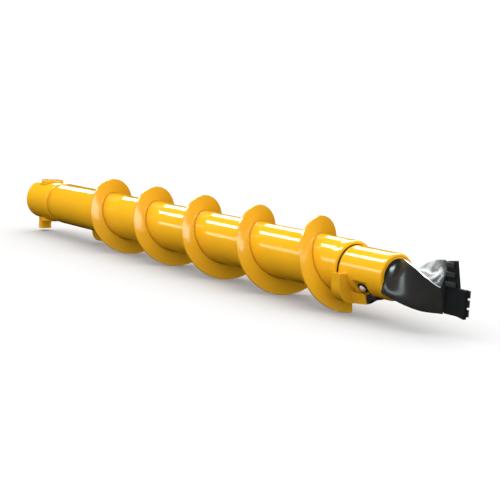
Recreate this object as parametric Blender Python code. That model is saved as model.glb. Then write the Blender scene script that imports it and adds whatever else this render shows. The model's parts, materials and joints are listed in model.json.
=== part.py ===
"""Screw auger with a two-wing bit, built of separate solids.

Metres. X runs along the screw from the open drive socket to the bit, Z is up and
the side with the pocket faces -Y. Lengths along the screw are measured from the
mouth of the socket; the finished pieces are then moved so that the origin lies on
the seat at the bottom of the socket. Angles around the screw are in degrees, 0 at
the top and 90 on the -Y side, and grow with the right-hand thread.
"""
import math

import bmesh
import bpy

for old in list(bpy.data.objects):
    bpy.data.objects.remove(old, do_unlink=True)

FIT = 0.0003                     # clearance left between pieces that touch
SLACK = 0.0006                   # clearance around pieces that slide in

# Drive coupling
COUPLING_R = 0.1994
COUPLING_LENGTH = 0.4470
COUPLING_WALL = 0.0394
MOUTH_CHAMFER = 0.0060
SEAT_THICKNESS = 0.0300
NECK_LENGTH = 0.0610
NECK_DEPTH = 0.0064              # how far the groove lies below the coupling
NECK_WALL = 0.0430
BOSS_R = 0.1140
BOSS_RISE = 0.0130               # height over the crest of the coupling
BOSS_FROM_MOUTH = 0.1880
PIN_HOLE_R = 0.0475
LUG_LENGTH = 0.0720
LUG_WIDTH = 0.1100
LUG_HEIGHT = 0.1096              # below the underside of the coupling
LUG_ROUNDING = 0.0150

# Stem and flight
STEM_R = 0.2032                  # 406.4 mm tube
STEM_WALL = 0.0200
STEM_LENGTH = 4.2120
FLIGHT_HEIGHT = 0.1338
FLIGHT_PLATE = 0.0200
FLIGHT_PITCH = 0.7474
FLIGHT_SETBACK = 0.5166          # from the stem's end to the middle of the plate's start
FLIGHT_START_ANGLE = 183.2
FLIGHT_TURNS = 5
FLIGHT_CORNER = 0.1050           # rounding of the outer corner where the flight starts
TURN_STEPS = 60
CORNER_STEPS = 8

# Joint between stem and front sleeve
END_RING_LENGTH = 0.0660
END_RING_ROUNDING = 0.0142
SEAL_WIDTH = 0.0080
SEAL_RISE = 0.0061               # over the sleeve
SLEEVE_R = 0.1716
SLEEVE_WALL = 0.0391
SLEEVE_LENGTH = 0.4230
SLEEVE_ROUNDING = 0.0140
SLEEVE_EDGE = 0.0040
BORE_DEPTH = 0.3180
SPIGOT_SHOULDER = 0.0266
SPIGOT_LENGTH = 0.1350
SPIGOT_WALL = 0.0500

# Stop block with its arm
BLOCK_SETBACK = 0.0040
BLOCK_LENGTH = 0.0875
BLOCK_THICKNESS = 0.0651
BLOCK_CORNER = 0.1310
BLOCK_TOP_DROP = 0.0150          # top face below the axis
BLOCK_FAR_REACH = 0.0610         # past the middle of the underside
ARM_LENGTH = 0.1635
ARM_OVERLAP = 0.0100
ARM_REACH = 0.1260               # of its near side from the middle
ARM_WIDTH = 0.0346               # along its underside
ARM_HEEL_REACH = 0.0264          # where its far side meets the sleeve
ARM_SHELF_RISE = 0.0236          # from the underside of the sleeve up to its top face
ARM_TAPER = 0.0172
ARM_SLANT = 0.0305

# Pocket in the sleeve and the lock in it
POCKET_LENGTH = 0.1360
POCKET_BEYOND_ARM = 0.0245
POCKET_DEPTH = 0.0316
POCKET_TOP_ANGLE = 108.0
POCKET_LOW_ANGLE = 172.0
LOCK_LENGTH = 0.0900
LOCK_SINK = 0.0216               # below the sleeve's surface
LOCK_TOP_ANGLE = 132.0
LOCK_LOW_ANGLE = 169.0
BOLT_SETBACK = 0.0855            # from the pocket's front edge
BOLT_ANGLE = 136.5
BOLT_HEAD_R = 0.0260
BOLT_HEAD_RISE = 0.0100
BOLT_HEAD_ROUNDING = 0.0040
BOLT_RING = 0.0100               # width of the black ring around the head
TIE_OVERLAP = 0.0030             # of the web that joins the lock and the wedge
WEDGE_INSET = 0.0110             # of its near side behind the arm's
WEDGE_DROP = 0.0417              # lowest edge below the sleeve
WEDGE_SOLE = 0.0100
WEDGE_BEND = 0.0560
WEDGE_LENGTH = 0.0900
WEDGE_TIP_DROP = 0.0020

# Bit: offsets from the sleeve's mouth, angles in degrees, reaches in metres
BIT_LENGTH = 0.4507
BIT_STATIONS = 36
FACE_POINTS = 22
FLUTE_POINTS = 14
LEAD_CHAMFER = 0.0130
TRAIL_CHAMFER = 0.0050
LEAD_ANGLE = ((0.000, -10.0), (0.069, 11.4), (0.193, 33.8), (0.311, 49.0), (0.380, 60.0),
              (0.451, 79.9))
TRAIL_ANGLE = ((0.000, 122.7), (0.085, 128.0), (0.166, 133.5), (0.248, 143.0), (0.329, 152.5),
               (0.370, 160.0), (0.411, 168.5), (0.451, 174.0))
LEAD_REACH = ((0.000, 0.130), (0.069, 0.163), (0.193, 0.178), (0.288, 0.172),
              (0.380, 0.115), (0.451, 0.058))
NEAR_REACH = ((0.000, 0.186), (0.085, 0.202), (0.166, 0.209), (0.248, 0.207),
              (0.329, 0.203), (0.370, 0.195), (0.411, 0.188), (0.451, 0.185))
FAR_REACH = ((0.000, 0.090), (0.065, 0.092), (0.085, 0.101), (0.125, 0.160), (0.166, 0.195),
             (0.207, 0.204), (0.248, 0.206), (0.329, 0.203), (0.370, 0.195), (0.411, 0.188),
             (0.451, 0.185))
FACE_BULGE = ((0.000, 0.056), (0.050, 0.042), (0.085, 0.033), (0.166, 0.025), (0.268, 0.020),
              (0.380, 0.008), (0.451, 0.000))
FACE_PEAK = ((0.000, 0.36), (0.050, 0.58), (0.085, 0.68), (0.166, 0.76), (0.451, 0.70))
FLUTE_HOLLOW = ((0.000, 0.004), (0.050, 0.040), (0.120, 0.072), (0.288, 0.076),
                (0.380, 0.040), (0.451, 0.004))

# Cutting head
BLADE_SPLIT = 0.0170             # height of the joint between the blades
UPPER_BLADE_LENGTH = 0.1140      # at its foot
UPPER_BLADE_RAKE = 0.0350        # its top is this much shorter
UPPER_BLADE_FALL = 0.0120        # its top falls this much toward the bit
UPPER_BLADE_NEAR = 0.0090
UPPER_BLADE_THICKNESS = 0.0250
LOWER_BLADE_LENGTH = 0.1800
LOWER_BLADE_RAKE = 0.0050
LOWER_BLADE_TOE = 0.0120         # its front corner reaches this much lower
LOWER_TOE_LENGTH = 0.0600
LOWER_BLADE_NEAR = 0.0120
LOWER_BLADE_THICKNESS = 0.0300
TOOTH_COUNT = 3
TOOTH_RISE = 0.0140
TOOTH_HEIGHT = 0.0330
TOOTH_MARGIN = 0.0040
UPPER_TOOTH_PITCH = 0.0650
UPPER_TOOTH_SILL = 0.0030        # from the blade's foot to the lowest tooth
UPPER_TOOTH_SETBACK = 0.0140
LOWER_TOOTH_PITCH = 0.0640
LOWER_TOOTH_HEIGHT = 0.0500
LOWER_TOOTH_SILL = 0.0050
LOWER_TOOTH_LENGTH = 0.0800
LOWER_TOOTH_OVERHANG = 0.0090

# Places along the screw that follow from the sizes
SEAT_X = COUPLING_LENGTH - SEAT_THICKNESS
SOCKET_R = COUPLING_R - COUPLING_WALL
STEM_START_X = COUPLING_LENGTH + NECK_LENGTH
STEM_END_X = STEM_START_X + STEM_LENGTH
FLIGHT_R = STEM_R + FLIGHT_HEIGHT
RING_START_X = STEM_END_X + FIT
RING_END_X = RING_START_X + END_RING_LENGTH
SEAL_START_X = RING_END_X + FIT
SEAL_END_X = SEAL_START_X + SEAL_WIDTH
SLEEVE_START_X = SEAL_END_X + FIT
SLEEVE_END_X = SLEEVE_START_X + SLEEVE_LENGTH
BORE_R = SLEEVE_R - SLEEVE_WALL
SPIGOT_R = SLEEVE_R - SPIGOT_SHOULDER
BLOCK_START_X = SEAL_END_X + BLOCK_SETBACK
BLOCK_END_X = BLOCK_START_X + BLOCK_LENGTH
BLOCK_SIDE = SLEEVE_R + BLOCK_THICKNESS
ARM_SHELF = SLEEVE_R - ARM_SHELF_RISE
ARM_TOP_END_X = BLOCK_END_X + ARM_LENGTH
POCKET_END_X = ARM_TOP_END_X + POCKET_BEYOND_ARM
POCKET_FLOOR_R = SLEEVE_R - POCKET_DEPTH
BIT_START_X = SLEEVE_END_X + FIT
BIT_END_X = BIT_START_X + BIT_LENGTH
UPPER_TEETH_SPAN = UPPER_TOOTH_PITCH * (TOOTH_COUNT - 1) + TOOTH_HEIGHT + TOOTH_MARGIN
UPPER_BLADE_HEIGHT = UPPER_TOOTH_SILL + UPPER_TEETH_SPAN + UPPER_BLADE_FALL
LOWER_TEETH_SPAN = LOWER_TOOTH_PITCH * (TOOTH_COUNT - 1) + LOWER_TOOTH_HEIGHT + TOOTH_MARGIN
LOWER_BLADE_HEIGHT = LOWER_TOOTH_SILL + LOWER_TEETH_SPAN


def material(name, colour, roughness, metallic):
    made = bpy.data.materials.new(name)
    made.use_nodes = True
    shader = made.node_tree.nodes["Principled BSDF"]
    shader.inputs["Base Color"].default_value = (*colour, 1.0)
    shader.inputs["Roughness"].default_value = roughness
    shader.inputs["Metallic"].default_value = metallic
    return made


PAINT = ("yellow_paint", (0.83, 0.45, 0.02), 0.30, 0.0)
BLACK = ("black_steel", (0.035, 0.036, 0.040), 0.35, 0.6)
SEAL = ("black_seal", (0.012, 0.012, 0.012), 0.60, 0.0)
BRIGHT = ("bright_steel", (0.55, 0.55, 0.56), 0.30, 1.0)


def finish(name, mesh_data, look, round_piece=True):
    """Turns a bmesh into a named object with its own material."""
    bmesh.ops.translate(mesh_data, verts=mesh_data.verts, vec=(-SEAT_X, 0.0, 0.0))
    bmesh.ops.recalc_face_normals(mesh_data, faces=mesh_data.faces)
    mesh = bpy.data.meshes.new(name)
    mesh_data.to_mesh(mesh)
    mesh_data.free()
    made = bpy.data.objects.new(name, mesh)
    bpy.context.scene.collection.objects.link(made)
    kind, colour, roughness, metallic = look
    mesh.materials.append(material(name + "_" + kind, colour, roughness, metallic))
    if round_piece:
        mesh.shade_smooth()
        mesh.set_sharp_from_angle(angle=math.radians(32.0))
    return made


def around(x, radius, degrees):
    """A point at an angle around the screw: 0 is the top, 90 the -Y side."""
    angle = math.radians(degrees)
    return (x, -radius * math.sin(angle), radius * math.cos(angle))


def turned_ring(name, profile, look, segments=72):
    """A closed ring whose section is the loop of (x, radius) points in profile."""
    mesh_data = bmesh.new()
    loops = []
    for index in range(segments):
        degrees = 360.0 * index / segments
        loops.append([mesh_data.verts.new(around(x, r, degrees)) for x, r in profile])
    count = len(profile)
    for index in range(segments):
        here = loops[index]
        there = loops[(index + 1) % segments]
        for k in range(count):
            after = (k + 1) % count
            mesh_data.faces.new((here[k], there[k], there[after], here[after]))
    return finish(name, mesh_data, look)


def lofted(name, sections, look, round_piece=True):
    """A solid through equal rings of points, closed by a flat face at each end."""
    mesh_data = bmesh.new()
    rings = [[mesh_data.verts.new(point) for point in section] for section in sections]
    count = len(rings[0])
    for index in range(len(rings) - 1):
        here = rings[index]
        there = rings[index + 1]
        for k in range(count):
            after = (k + 1) % count
            mesh_data.faces.new((here[k], here[after], there[after], there[k]))
    mesh_data.faces.new(rings[0])
    mesh_data.faces.new(list(reversed(rings[-1])))
    return finish(name, mesh_data, look, round_piece)


def box(name, low, high, look):
    """A plain box between two corners."""
    outline = ((low[1], low[2]), (high[1], low[2]), (high[1], high[2]), (low[1], high[2]))
    sections = [[(x, y, z) for y, z in outline] for x in (low[0], high[0])]
    return lofted(name, sections, look, round_piece=False)


def upright_cylinder(name, x, radius, low_z, high_z, look, segments=48):
    """A cylinder with a vertical axis."""
    sections = []
    for z in (low_z, high_z):
        ring = []
        for index in range(segments):
            angle = 2.0 * math.pi * index / segments
            ring.append((x + radius * math.cos(angle), radius * math.sin(angle), z))
        sections.append(ring)
    return lofted(name, sections, look)


def shaft(name, x_low, x_high, radius, look, segments=72):
    """A cylinder along the screw."""
    sections = []
    for x in (x_low, x_high):
        sections.append([around(x, radius, 360.0 * k / segments) for k in range(segments)])
    return lofted(name, sections, look)


def arc_block(name, stations, top_angle, low_angle, look, steps=24):
    """A block around part of the screw.

    stations holds (x, inner radius, outer radius) from the drive end forward.
    """
    sections = []
    for x, inner, outer in stations:
        ring = []
        for k in range(steps + 1):
            degrees = top_angle + (low_angle - top_angle) * k / steps
            ring.append(around(x, inner, degrees))
        for k in range(steps + 1):
            degrees = low_angle + (top_angle - low_angle) * k / steps
            ring.append(around(x, outer, degrees))
        sections.append(ring)
    return lofted(name, sections, look)


def hide(cutter):
    cutter.hide_render = True
    cutter.display_type = "WIRE"
    return cutter


def combine(target, other, operation):
    """Adds an exact boolean to target; other stays hidden as its tool."""
    change = target.modifiers.new(operation.lower() + "_" + other.name, "BOOLEAN")
    change.operation = operation
    change.solver = "EXACT"
    change.object = hide(other)


def rounded_edge(x_end, crest_r, rounding, steps):
    """Points of a quarter round from the end face back to the crest of a turned piece."""
    points = []
    for k in range(steps + 1):
        angle = math.radians(90.0 * k / steps)
        points.append((
            x_end - rounding * (1.0 - math.cos(angle)),
            crest_r - rounding * (1.0 - math.sin(angle)),
        ))
    return points


# Coupling: sleeve with a seat plate in it, a groove to the stem, two pin bosses and a lug
coupling = turned_ring("coupling_sleeve", [
    (0.0, SOCKET_R + MOUTH_CHAMFER),
    (MOUTH_CHAMFER, SOCKET_R),
    (COUPLING_LENGTH, SOCKET_R),
    (COUPLING_LENGTH, COUPLING_R - MOUTH_CHAMFER),
    (COUPLING_LENGTH - MOUTH_CHAMFER, COUPLING_R),
    (MOUTH_CHAMFER, COUPLING_R),
    (0.0, COUPLING_R - MOUTH_CHAMFER),
], PAINT)
boss_crest = COUPLING_R + BOSS_RISE
lug_low = COUPLING_R + LUG_HEIGHT
pin_cutter = upright_cylinder("pin_hole_cutter", BOSS_FROM_MOUTH, PIN_HOLE_R,
                              -2.0 * boss_crest, 2.0 * boss_crest, PAINT)
combine(coupling, pin_cutter, "DIFFERENCE")

shaft("socket_seat", SEAT_X, COUPLING_LENGTH, SOCKET_R - SLACK, PAINT)

neck_r = COUPLING_R - NECK_DEPTH
turned_ring("coupling_neck", [
    (COUPLING_LENGTH + FIT, neck_r - NECK_WALL),
    (STEM_START_X - FIT, neck_r - NECK_WALL),
    (STEM_START_X - FIT, neck_r),
    (COUPLING_LENGTH + FIT, neck_r),
], PAINT)

coupling_cutter = shaft("coupling_cutter", -LUG_LENGTH, COUPLING_LENGTH,
                        COUPLING_R + FIT, PAINT)
for side, name in ((1.0, "pin_boss_top"), (-1.0, "pin_boss_bottom")):
    hidden_z = side * (SOCKET_R - BOSS_R / 2.0)
    crest_z = side * boss_crest
    boss = upright_cylinder(name, BOSS_FROM_MOUTH, BOSS_R, min(hidden_z, crest_z),
                            max(hidden_z, crest_z), PAINT)
    combine(boss, coupling_cutter, "DIFFERENCE")
    combine(boss, pin_cutter, "DIFFERENCE")

lug_outline = []
for corner_x, corner_y, turn in ((LUG_LENGTH, 1.0, 0), (0.0, 1.0, 1), (0.0, -1.0, 2),
                                 (LUG_LENGTH, -1.0, 3)):
    centre_x = corner_x + (-LUG_ROUNDING if corner_x > 0.0 else LUG_ROUNDING)
    centre_y = corner_y * (LUG_WIDTH / 2.0 - LUG_ROUNDING)
    for k in range(5):
        angle = math.radians(90.0 * turn + 90.0 * k / 4.0)
        lug_outline.append((
            centre_x + LUG_ROUNDING * math.cos(angle),
            centre_y + LUG_ROUNDING * math.sin(angle),
        ))
lug = lofted("coupling_lug", [
    [(x, y, z) for x, y in lug_outline] for z in (-lug_low, LUG_WIDTH - COUPLING_R)
], PAINT)
combine(lug, coupling_cutter, "DIFFERENCE")

# Stem
stem_inner = STEM_R - STEM_WALL
turned_ring("stem_tube", [
    (STEM_START_X, stem_inner),
    (STEM_END_X, stem_inner),
    (STEM_END_X, STEM_R),
    (STEM_START_X, STEM_R),
], PAINT, segments=96)


def flight_section(turn):
    """Section of the flight plate; turns are counted from its start."""
    inner = STEM_R + SLACK
    degrees = FLIGHT_START_ANGLE + 360.0 * turn
    x = STEM_START_X + FLIGHT_SETBACK + FLIGHT_PITCH * turn
    run = 2.0 * math.pi * FLIGHT_R * turn
    outer = FLIGHT_R
    if run < FLIGHT_CORNER:
        fall = FLIGHT_CORNER - run
        outer = FLIGHT_R - FLIGHT_CORNER + math.sqrt(FLIGHT_CORNER ** 2 - fall ** 2)
    half = FLIGHT_PLATE / 2.0
    return [
        around(x - half, inner, degrees),
        around(x - half, outer, degrees),
        around(x + half, outer, degrees),
        around(x + half, inner, degrees),
    ]


corner_turn = FLIGHT_CORNER / (2.0 * math.pi * FLIGHT_R)
turn_gap = FIT / (2.0 * math.pi * STEM_R)
for number in range(FLIGHT_TURNS):
    first = number + turn_gap
    last = number + 1.0 - turn_gap
    if number == 0:
        first = 0.0
    places = [first + (last - first) * k / TURN_STEPS for k in range(TURN_STEPS + 1)]
    if number == 0:
        places = [p for p in places if p > corner_turn * 1.05]
        bends = [corner_turn * (k / CORNER_STEPS) ** 2 for k in range(CORNER_STEPS + 1)]
        places = bends + places
    lofted("flight_turn_%d" % (number + 1), [flight_section(p) for p in places], PAINT)

# Rounded shoulder, seal and front sleeve
seat_r = SPIGOT_R + FIT
ring_profile = [(RING_END_X, seat_r)]
ring_profile += rounded_edge(RING_END_X, STEM_R, END_RING_ROUNDING, 6)
ring_profile += [(RING_START_X, STEM_R), (RING_START_X, seat_r)]
turned_ring("stem_end_ring", ring_profile, PAINT, segments=96)

seal_r = SLEEVE_R + SEAL_RISE
turned_ring("seal_ring", [
    (SEAL_START_X, seat_r),
    (SEAL_END_X, seat_r),
    (SEAL_END_X, seal_r),
    (SEAL_START_X, seal_r),
], SEAL)

passage_r = SPIGOT_R - SPIGOT_WALL
spigot_start = SLEEVE_START_X - SPIGOT_LENGTH
bore_back = SLEEVE_END_X - BORE_DEPTH
sleeve_profile = [
    (spigot_start, passage_r),
    (bore_back, passage_r),
    (bore_back, BORE_R),
    (SLEEVE_END_X - SLEEVE_EDGE, BORE_R),
    (SLEEVE_END_X, BORE_R + SLEEVE_EDGE),
]
sleeve_profile += rounded_edge(SLEEVE_END_X, SLEEVE_R, SLEEVE_ROUNDING, 5)
sleeve_profile += [
    (SLEEVE_START_X + SLEEVE_EDGE, SLEEVE_R),
    (SLEEVE_START_X, SLEEVE_R - SLEEVE_EDGE),
    (SLEEVE_START_X, SPIGOT_R),
    (spigot_start, SPIGOT_R),
]
sleeve = turned_ring("front_sleeve", sleeve_profile, PAINT)

pocket_cutter = arc_block("pocket_cutter", [
    (POCKET_END_X - POCKET_LENGTH, POCKET_FLOOR_R, BLOCK_SIDE),
    (POCKET_END_X, POCKET_FLOOR_R, BLOCK_SIDE),
], POCKET_TOP_ANGLE, POCKET_LOW_ANGLE, PAINT)
combine(sleeve, pocket_cutter, "DIFFERENCE")


# Stop block: it hugs the sleeve, with flat outer sides and a round lower corner
hug_r = SLEEVE_R + FIT


def hug_arc(start, end, steps=20):
    """Points (y, z) along the sleeve between two angles."""
    points = []
    for k in range(steps + 1):
        angle = math.radians(start + (end - start) * k / steps)
        points.append((-hug_r * math.sin(angle), hug_r * math.cos(angle)))
    return points


far_angle = 180.0 + math.degrees(math.asin(BLOCK_FAR_REACH / hug_r))
block_top_angle = 90.0 + math.degrees(math.asin(BLOCK_TOP_DROP / hug_r))
outline = hug_arc(block_top_angle, far_angle)
outline.append((BLOCK_FAR_REACH, -BLOCK_SIDE))
corner_centre = -(BLOCK_SIDE - BLOCK_CORNER)
for k in range(9):
    angle = math.radians(90.0 * k / 8.0)
    outline.append((
        corner_centre - BLOCK_CORNER * math.sin(angle),
        corner_centre - BLOCK_CORNER * math.cos(angle),
    ))
outline.append((-BLOCK_SIDE, -BLOCK_TOP_DROP))
block = lofted("stop_block", [
    [(x, y, z) for y, z in outline] for x in (BLOCK_START_X, BLOCK_END_X)
], PAINT)


def arm_end(depth):
    """Where the arm's slanted end lies, at a depth below the axis."""
    fall = BLOCK_SIDE - ARM_TAPER - ARM_SHELF
    return ARM_TOP_END_X + ARM_SLANT * (depth - ARM_SHELF) / fall


arm_top_angle = 180.0 - math.degrees(math.acos(ARM_SHELF / hug_r))
arm_heel_angle = 180.0 - math.degrees(math.asin(ARM_HEEL_REACH / hug_r))
arm_low_start = BLOCK_SIDE - SLACK
arm_low_end = BLOCK_SIDE - ARM_TAPER


def arm_outline(near, low, lift):
    """Outline (y, depth) of the arm's kind of section: it hugs the sleeve under a shelf."""
    points = [(-near, ARM_SHELF)]
    for y, z in hug_arc(arm_top_angle, arm_heel_angle, 12):
        points.append((y * (1.0 + lift), -z * (1.0 + lift)))
    slant = (low - SLEEVE_R) / (arm_low_start - SLEEVE_R)
    points.append((-ARM_HEEL_REACH - (ARM_REACH - ARM_WIDTH - ARM_HEEL_REACH) * slant, low))
    points.append((-near, low))
    return points


arm_sections = [
    [(BLOCK_END_X - ARM_OVERLAP, y, -depth)
     for y, depth in arm_outline(ARM_REACH, arm_low_start, 0.0)],
    [(arm_end(depth), y, -depth) for y, depth in arm_outline(ARM_REACH, arm_low_end, 0.0)],
]
arm = lofted("stop_arm_shape", arm_sections, PAINT)
combine(block, arm, "UNION")


def radial_round(name, x, degrees, levels, look, segments=32):
    """A round piece standing on the sleeve; levels holds (distance from axis, radius)."""
    angle = math.radians(degrees)
    out = (-math.sin(angle), math.cos(angle))
    across = (math.cos(angle), math.sin(angle))
    sections = []
    for reach, width in levels:
        ring = []
        for k in range(segments):
            turn = 2.0 * math.pi * k / segments
            side = width * math.sin(turn)
            ring.append((
                x + width * math.cos(turn),
                reach * out[0] + side * across[0],
                reach * out[1] + side * across[1],
            ))
        sections.append(ring)
    return lofted(name, sections, look)


# Lock: a piece in the pocket with a round seat for the bolt and a ramp under the sleeve
lock_low_r = POCKET_FLOOR_R + SLACK
lock_high_r = SLEEVE_R - LOCK_SINK
lock_end = POCKET_END_X - SLACK
lock = arc_block("lock_wedge", [
    (lock_end - LOCK_LENGTH, lock_low_r, lock_high_r),
    (lock_end, lock_low_r, lock_high_r),
], LOCK_TOP_ANGLE, LOCK_LOW_ANGLE, BLACK)
bolt_x = POCKET_END_X - BOLT_SETBACK
bolt_seat = radial_round("bolt_seat_shape", bolt_x, BOLT_ANGLE, [
    (lock_low_r, BOLT_HEAD_R + BOLT_RING),
    (lock_high_r, BOLT_HEAD_R + BOLT_RING),
], BLACK)
combine(lock, bolt_seat, "UNION")

wedge_low = SLEEVE_R + WEDGE_DROP
wedge_tip = SLEEVE_R + WEDGE_TIP_DROP
wedge_near = ARM_REACH - WEDGE_INSET
wedge_lift = SLACK / hug_r
wedge_start = arm_end(wedge_low) + SLACK
wedge_sections = [[
    (arm_end(depth) + SLACK, y, -depth)
    for y, depth in arm_outline(wedge_near, wedge_low, wedge_lift)
]]
for along, low in ((WEDGE_SOLE, wedge_low), (WEDGE_BEND, wedge_tip), (WEDGE_LENGTH, wedge_tip)):
    wedge_sections.append([
        (wedge_start + along, y, -depth)
        for y, depth in arm_outline(wedge_near, low, wedge_lift)
    ])
wedge = lofted("wedge_shape", wedge_sections, BLACK, round_piece=False)
combine(lock, wedge, "UNION")
tie_start = arm_end(SLEEVE_R + TIE_OVERLAP) + SLACK
tie = arc_block("wedge_tie_shape", [
    (tie_start, lock_high_r - TIE_OVERLAP, SLEEVE_R + TIE_OVERLAP),
    (lock_end, lock_high_r - TIE_OVERLAP, SLEEVE_R + TIE_OVERLAP),
], arm_top_angle + 1.0, LOCK_LOW_ANGLE, BLACK)
combine(lock, tie, "UNION")

head_seat = lock_high_r + FIT
head_top = head_seat + BOLT_HEAD_RISE
radial_round("lock_bolt", bolt_x, BOLT_ANGLE, [
    (head_seat, BOLT_HEAD_R),
    (head_top - BOLT_HEAD_ROUNDING, BOLT_HEAD_R),
    (head_top, BOLT_HEAD_R - BOLT_HEAD_ROUNDING),
], BRIGHT)

# Bit
shaft("bit_shank", bore_back + SLEEVE_EDGE, BIT_START_X - FIT, BORE_R - SLACK, BLACK)


def smooth_value(table, x):
    """Value at x of a table of (x, value) pairs, along a smooth curve through them."""
    last = len(table) - 1
    if x <= table[0][0]:
        return table[0][1]
    if x >= table[last][0]:
        return table[last][1]
    index = 0
    while table[index + 1][0] < x:
        index += 1
    slopes = []
    for k in (index, index + 1):
        low = max(k - 1, 0)
        high = min(k + 1, last)
        slopes.append((table[high][1] - table[low][1]) / (table[high][0] - table[low][0]))
    x0, v0 = table[index]
    x1, v1 = table[index + 1]
    span = x1 - x0
    t = (x - x0) / span
    return (v0 * (2.0 * t ** 3 - 3.0 * t ** 2 + 1.0)
            + slopes[0] * span * (t ** 3 - 2.0 * t ** 2 + t)
            + v1 * (3.0 * t ** 2 - 2.0 * t ** 3)
            + slopes[1] * span * (t ** 3 - t ** 2))


def bowed(start, end, bow, points, peak=0.5):
    """Points between two corners along a curve that bows to the left of the line.

    peak is the part of the way at which the curve is farthest from the line.
    """
    dy = end[0] - start[0]
    dz = end[1] - start[1]
    length = math.hypot(dy, dz)
    lean = math.log(0.5) / math.log(peak)
    made = []
    for k in range(1, points + 1):
        t = k / (points + 1)
        lift = bow * math.sin(math.pi * t ** lean)
        made.append((start[0] + dy * t - dz / length * lift,
                     start[1] + dz * t + dy / length * lift))
    return made


def toward(start, end, distance):
    """The point at a distance from start on the way to end."""
    length = math.hypot(end[0] - start[0], end[1] - start[1])
    part = distance / length
    return (start[0] + (end[0] - start[0]) * part, start[1] + (end[1] - start[1]) * part)


def wing_section(offset):
    """Two wings, each with a bulged face, chamfered edges and a hollow flute behind it."""
    place = offset / BIT_LENGTH * LEAD_ANGLE[-1][0]
    bulge = smooth_value(FACE_BULGE, place)
    peak = smooth_value(FACE_PEAK, place)
    hollow = smooth_value(FLUTE_HOLLOW, place)
    corners = []
    for turn, reach in ((0.0, NEAR_REACH), (180.0, FAR_REACH)):
        lead = around(0.0, smooth_value(LEAD_REACH, place),
                      smooth_value(LEAD_ANGLE, place) + turn)
        trail = around(0.0, smooth_value(reach, place),
                       smooth_value(TRAIL_ANGLE, place) + turn)
        corners += [lead[1:], trail[1:]]
    ring = []
    for wing in range(2):
        lead = corners[2 * wing]
        trail = corners[2 * wing + 1]
        after = corners[(2 * wing + 2) % 4]
        face = bowed(lead, trail, -bulge, FACE_POINTS, peak)
        flute = bowed(trail, after, hollow, FLUTE_POINTS)
        face_start = toward(lead, face[0], LEAD_CHAMFER)
        face_end = toward(trail, face[-1], TRAIL_CHAMFER)
        flute_start = toward(trail, flute[0], TRAIL_CHAMFER)
        flute_end = toward(after, flute[-1], LEAD_CHAMFER)
        ring.append(face_start)
        ring += face[1:-1]
        ring.append(face_end)
        ring.append(flute_start)
        ring += flute[1:-1]
        ring.append(flute_end)
    return [(BIT_START_X + offset, y, z) for y, z in ring]


lofted("bit_body", [
    wing_section(BIT_LENGTH * k / BIT_STATIONS) for k in range(BIT_STATIONS + 1)
], BLACK)

def plate(name, outline, near_y, far_y, look):
    """A flat plate whose outline is given as (x, z) points."""
    sections = [[(x, y, z) for x, z in outline] for y in (near_y, far_y)]
    return lofted(name, sections, look, round_piece=False)


# Cutting head: two blades on the front of the bit, each with three teeth on its face
blade_x = BIT_END_X + FIT
upper_low = BLADE_SPLIT + FIT / 2.0
upper_top = BLADE_SPLIT + UPPER_BLADE_HEIGHT
upper_foot = blade_x + UPPER_BLADE_LENGTH
plate("upper_blade", (
    (blade_x, upper_low),
    (upper_foot, upper_low),
    (upper_foot - UPPER_BLADE_RAKE, upper_top),
    (blade_x, upper_top - UPPER_BLADE_FALL),
), -UPPER_BLADE_NEAR, UPPER_BLADE_THICKNESS - UPPER_BLADE_NEAR, BLACK)

lower_top = BLADE_SPLIT - FIT / 2.0
lower_low = BLADE_SPLIT - LOWER_BLADE_HEIGHT
lower_front = blade_x + LOWER_BLADE_LENGTH
lower_far = LOWER_BLADE_THICKNESS - LOWER_BLADE_NEAR
plate("lower_blade", (
    (blade_x, lower_low),
    (lower_front - LOWER_BLADE_RAKE - LOWER_TOE_LENGTH, lower_low),
    (lower_front - LOWER_BLADE_RAKE, lower_low - LOWER_BLADE_TOE),
    (lower_front, lower_top),
    (blade_x, lower_top),
), -LOWER_BLADE_NEAR, lower_far, BLACK)

for number in range(TOOTH_COUNT):
    top = upper_top - UPPER_BLADE_FALL - TOOTH_MARGIN - UPPER_TOOTH_PITCH * number
    lean = UPPER_BLADE_RAKE * (top - upper_low) / UPPER_BLADE_HEIGHT
    box("upper_tooth_%d" % (number + 1),
        (blade_x + SLEEVE_EDGE, -UPPER_BLADE_NEAR - FIT - TOOTH_RISE, top - TOOTH_HEIGHT),
        (upper_foot - lean - UPPER_TOOTH_SETBACK, -UPPER_BLADE_NEAR - FIT, top), BLACK)
    low = lower_low + TOOTH_MARGIN + LOWER_TOOTH_PITCH * number
    lean = LOWER_BLADE_RAKE * (lower_top - low) / LOWER_BLADE_HEIGHT
    tip = lower_front - lean + LOWER_TOOTH_OVERHANG
    box("lower_tooth_%d" % (number + 1),
        (tip - LOWER_TOOTH_LENGTH, lower_far + FIT, low),
        (tip, lower_far + FIT + TOOTH_RISE, low + LOWER_TOOTH_HEIGHT), BLACK)
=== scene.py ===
"""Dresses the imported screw: paint, steel, weld seams, lights, floor and camera."""

import json
import math
import random

import bpy
import bmesh
from mathutils import Matrix, Vector


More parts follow.
